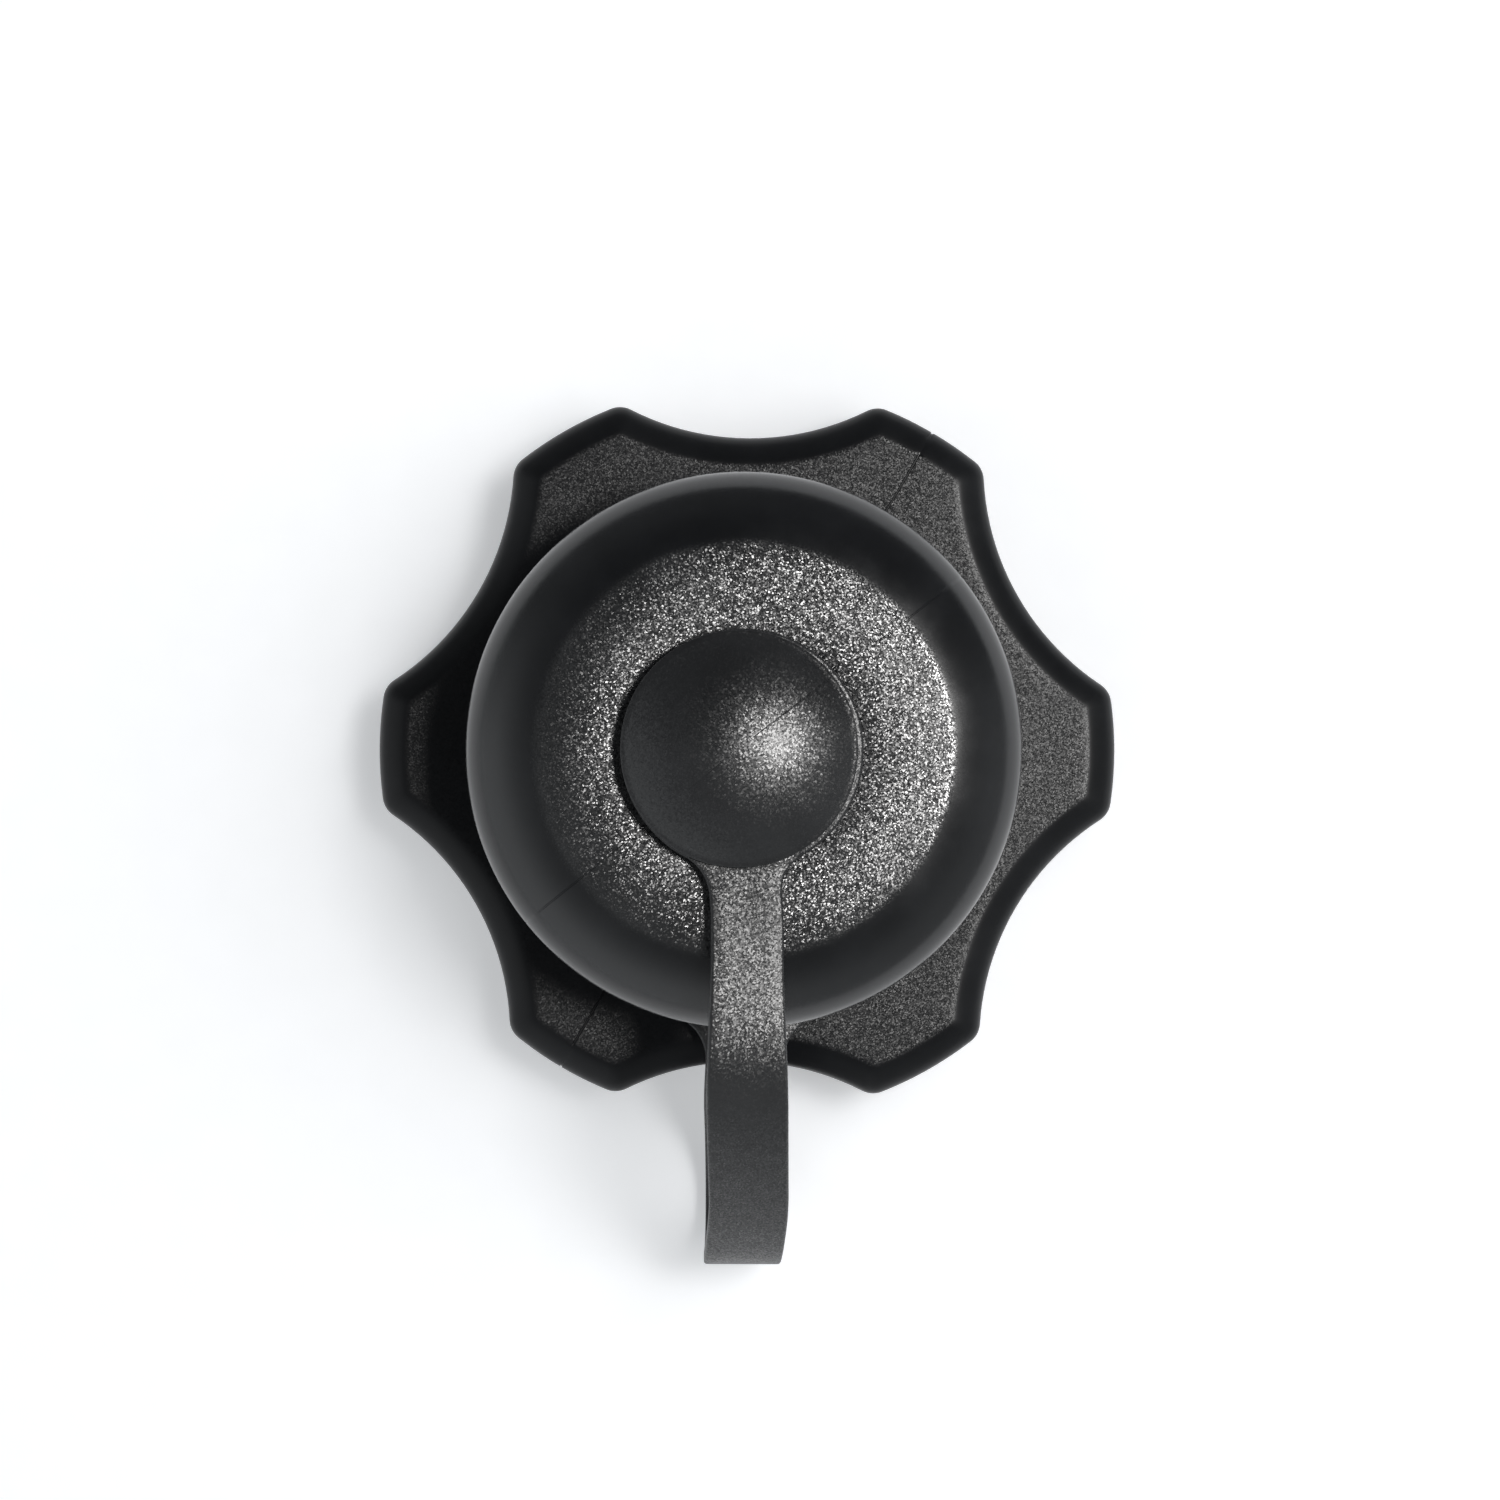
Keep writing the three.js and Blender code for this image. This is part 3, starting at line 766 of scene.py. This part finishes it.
def spring_piece():
    """The clutch spring, which shortens between the hub's floor and the dog."""
    low, high = node_mm("clutch_spring")
    wire, turns, steps, sides = 0.42, 3.25, 180, 12
    ring = [TURN * j / sides for j in range(sides)]
    up = Vector((0, 0, 1))
    loops = []
    for k in range(steps + 1):
        angle = TURN * turns * k / steps
        outward = Vector((math.cos(angle), math.sin(angle), 0))
        centre = outward * (high.x - wire)
        centre.z = low.z + wire + (high.z - low.z - 2 * wire) * k / steps
        loops.append([tuple(centre + (outward * math.cos(a) + up * math.sin(a)) * wire) for a in ring])
    verts, faces = stitched(loops)
    faces += [tuple(reversed(range(sides))), tuple(range(steps * sides, (steps + 1) * sides))]
    piece = mesh_piece("spring_coil", verts, faces, sharp=50)
    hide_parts("clutch_spring")
    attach(piece, "dog")
    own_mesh(piece)
    return piece


# ---- the stage ----


def floor():
    """Pale paper, six metres square, slightly luminous."""
    size = 3.0
    corners = [(-size, -size, 0), (size, -size, 0), (size, size, 0), (-size, size, 0)]
    mesh = bpy.data.meshes.new("floor")
    mesh.from_pydata(corners, [], [(0, 1, 2, 3)])
    piece = bpy.data.objects.new("floor", mesh)
    bpy.context.scene.collection.objects.link(piece)
    s = Shader("paper", Roughness=0.9)
    s.main.inputs["Specular IOR Level"].default_value = 0.0
    s.main.inputs["Emission Color"].default_value = (0.97, 0.985, 1.0, 1)
    s.main.inputs["Emission Strength"].default_value = 0.34
    fibre = s.noise(300, detail=4, roughness=0.6)
    s.colour(s.mix_colour(s.ramp(fibre, 0.3, 0.7), (0.93, 0.935, 0.95), (0.90, 0.905, 0.92)))
    mesh.materials.append(s.material)


def area_light(name, off_deg, azimuth_deg, distance, size, power):
    """A square softbox at an angle off vertical, aimed at the object. Metres and watts."""
    light = bpy.data.lights.new(name, "AREA")
    light.energy = power
    light.size = size
    lamp = bpy.data.objects.new(name, light)
    off, around = math.radians(off_deg), math.radians(azimuth_deg)
    towards = Vector((math.sin(off) * math.cos(around), math.sin(off) * math.sin(around), math.cos(off)))
    lamp.location = Vector((0, 0, 0.02)) + towards * distance
    lamp.rotation_euler = towards.to_track_quat("Z", "Y").to_euler()
    bpy.context.scene.collection.objects.link(lamp)
    return lamp


def surroundings():
    """A room that is dark overhead and behind, and pale low down on the other three sides."""
    world = bpy.data.worlds.new("studio")
    world.use_nodes = True
    nodes, links = world.node_tree.nodes, world.node_tree.links
    parts = nodes.new("ShaderNodeSeparateXYZ")
    links.new(nodes.new("ShaderNodeTexCoord").outputs["Generated"], parts.inputs[0])

    def ranged(socket, low, high, to_low, to_high):
        node = nodes.new("ShaderNodeMapRange")
        node.interpolation_type = "SMOOTHSTEP"
        for key, value in (("From Min", low), ("From Max", high), ("To Min", to_low), ("To Max", to_high)):
            node.inputs[key].default_value = value
        links.new(socket, node.inputs["Value"])
        return node.outputs["Result"]

    height = ranged(parts.outputs["Z"], 0.35, 0.85, 1.0, 0.26)
    behind = ranged(parts.outputs["Y"], -0.1, 0.6, 1.0, 0.2)
    across = ranged(parts.outputs["X"], -0.5, 0.5, 1.0, 0.5)
    strength = height
    for factor in (behind, across):
        product = nodes.new("ShaderNodeMath")
        product.operation = "MULTIPLY"
        links.new(strength, product.inputs[0])
        links.new(factor, product.inputs[1])
        strength = product.outputs[0]
    back = nodes["Background"]
    back.inputs["Color"].default_value = (0.95, 0.98, 1.0, 1)
    links.new(strength, back.inputs["Strength"])
    bpy.context.scene.world = world


def studio():
    """A small key light that makes the highlights, and two soft ones that light the floor."""
    surroundings()
    key = area_light("key", 23, 10, 0.9, 0.17, 15)
    key.data.color = (1.0, 0.99, 0.98)
    key.visible_diffuse = False
    for soft in (area_light("side", 42, 14, 1.0, 1.1, 5.8), area_light("lamp", 28, 22, 0.9, 0.28, 2.2)):
        soft.visible_glossy = False
    bpy.context.scene.view_settings.view_transform = "Standard"


def camera():
    """Looks down from 345 mm above the flange, a degree off plumb."""
    cam = bpy.data.cameras.new("camera")
    cam.sensor_width = 36
    cam.lens = 87.6
    cam.clip_start = 0.01
    offset, height = 0.0058, 0.355
    aim_x, aim_z = 0.00038, 0.01
    lens = bpy.data.objects.new("camera", cam)
    lens.location = (offset, 0.0, height)
    lens.rotation_euler = (0, math.atan2(offset - aim_x, height - aim_z), 0)
    bpy.context.scene.collection.objects.link(lens)
    bpy.context.scene.camera = lens


# ---- put together ----


def paint(pieces, material):
    for piece in pieces:
        piece.data.materials.clear()
        piece.data.materials.append(material)


def paint_cad_nodes():
    """Gives each CAD node the material of its slot, and returns the materials by slot."""
    looks = {
        "zinc_plated_steel": metal("zinc_plate", (0.62, 0.63, 0.65), 0.3),
        "brass": metal("machined_brass", (0.72, 0.55, 0.27), 0.28),
        "die_cast_zinc": metal("cast_zinc", (0.5, 0.51, 0.53), 0.42, turned=False, scratch=0.5),
        "spring_steel": metal("spring_wire", (0.42, 0.43, 0.45), 0.26, turned=False, scratch=0.2),
        "acetal": grained_plastic("white_acetal", (0.76, 0.75, 0.7), tilt=0.1, grain_rough=0.4344),
        "black_rubber": RUBBER,
        "black_nylon": NYLON_FLANGE,
    }
    for entry in frame["record"]["subparts"]:
        paint([frame["nodes"][entry["node"]]], looks[entry["material_slot"]])
    return looks


camera()
floor()
studio()

NYLON = (0.005, 0.0055, 0.0065)
NYLON_FLANGE = grained_plastic(
    "nylon_flange", NYLON, flat_top_mask, cell=0.11, tilt=0.26,
    grain_rough=0.4, smooth_rough=0.34, specular=0.19,
)
NYLON_DOME = grained_plastic(
    "nylon_dome", NYLON, dome_mask, cell=0.12, tilt=0.44,
    grain_rough=0.34, smooth_rough=0.22, specular=0.56,
)
BLACK_RUBBER = (0.006, 0.0065, 0.0075)
RUBBER = grained_plastic("rubber_strap", BLACK_RUBBER, cell=0.13, tilt=0.34, grain_rough=0.42)
RUBBER_CAP = grained_plastic("rubber_cap", BLACK_RUBBER, cell=0.13, tilt=0.25, grain_rough=0.36)

looks = paint_cad_nodes()
paint([grip_piece()], NYLON_FLANGE)
paint([dome_piece()], NYLON_DOME)
paint(tether_pieces(), RUBBER)
head, button = cap_pieces()
paint([head], RUBBER)
paint([button], RUBBER_CAP)
paint([foot_piece()], looks["zinc_plated_steel"])
paint([spring_piece()], looks["spring_steel"])
